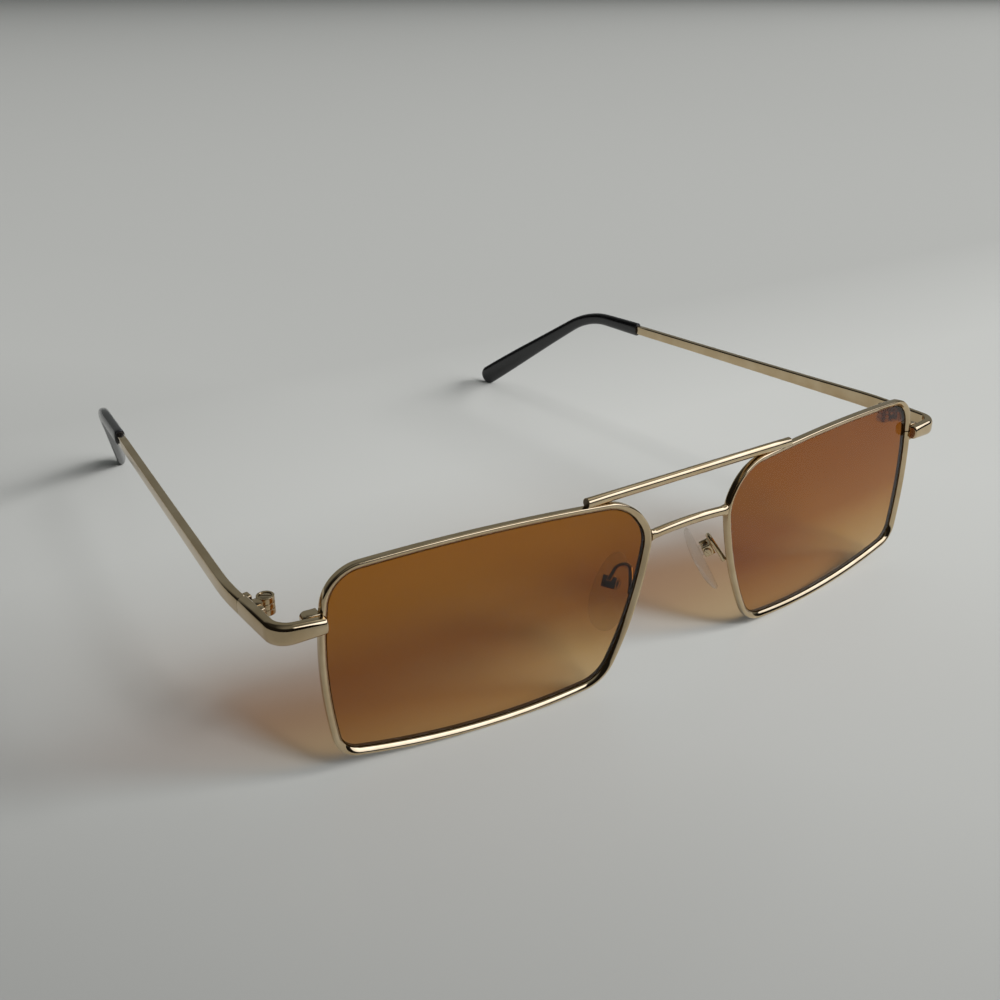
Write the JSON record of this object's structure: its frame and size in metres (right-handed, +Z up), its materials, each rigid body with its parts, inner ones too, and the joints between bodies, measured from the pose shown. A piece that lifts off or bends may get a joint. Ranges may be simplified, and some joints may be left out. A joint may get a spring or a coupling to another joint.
{
  "type": "sunglasses",
  "caption": "Slim square metal sunglasses with a straight round brow bar, amber gradient lenses, clear nose pads and folding flat temples with black tips.",
  "frame": {"origin": "middle of the footprint's box on the table that the open sunglasses stand on", "axes": "+Z up from the table; -Y is the way the lenses face; +X is the wearer's left; the temples run back along +Y"},
  "size_m": [0.1484, 0.1468, 0.0365],
  "materials": {
    "gold": "polished pale gold plating",
    "screw": "polished pale gold plating",
    "lens": "amber-brown tint, paler towards the bottom",
    "tip": "glossy black",
    "pad": "clear soft plastic"
  },
  "bodies": {
    "front": {"eyewire_right": "gold", "eyewire_left": "gold", "lens_right": "lens", "lens_left": "lens", "brow_bar": "gold", "bridge": "gold", "end_piece_right": "gold", "end_piece_left": "gold", "closing_block_upper_right": "gold", "closing_block_upper_left": "gold", "closing_block_lower_right": "gold", "closing_block_lower_left": "gold", "closing_screw_right": "screw", "closing_screw_left": "screw", "hinge_front_leaf_right": "gold", "hinge_front_leaf_left": "gold", "hinge_screw_right": "screw", "hinge_screw_left": "screw", "pad_arm_right": "gold", "pad_arm_left": "gold", "pad_box_right": "gold", "pad_box_left": "gold", "pad_screw_right": "screw", "pad_screw_left": "screw"},
    "temple_left": {"hinge_temple_leaf_left": "gold", "temple_left": "gold", "temple_tip_left": "tip"},
    "temple_right": {"hinge_temple_leaf_right": "gold", "temple_right": "gold", "temple_tip_right": "tip"},
    "pad_left": {"nose_pad_left": "pad"},
    "pad_right": {"nose_pad_right": "pad"}
  },
  "joints": [
    {"name": "temple_left_fold", "type": "hinge", "parent": "front", "child": "temple_left", "pos_m": [0.06992, -0.05773, 0.02724], "axis": [0, 0, 1], "range_deg": [0, 85]},
    {"name": "temple_right_fold", "type": "hinge", "parent": "front", "child": "temple_right", "pos_m": [-0.06992, -0.05773, 0.02724], "axis": [0, 0, 1], "range_deg": [-80, 0]},
    {"name": "pad_left_rock", "type": "hinge", "parent": "front", "child": "pad_left", "pos_m": [0.01121, -0.06629, 0.01603], "axis": [0.5024, 0.8637, 0.0408], "range_deg": [-8, 8]},
    {"name": "pad_right_rock", "type": "hinge", "parent": "front", "child": "pad_right", "pos_m": [-0.01121, -0.06629, 0.01603], "axis": [-0.5024, 0.8637, 0.0408], "range_deg": [-8, 8]}
  ]
}
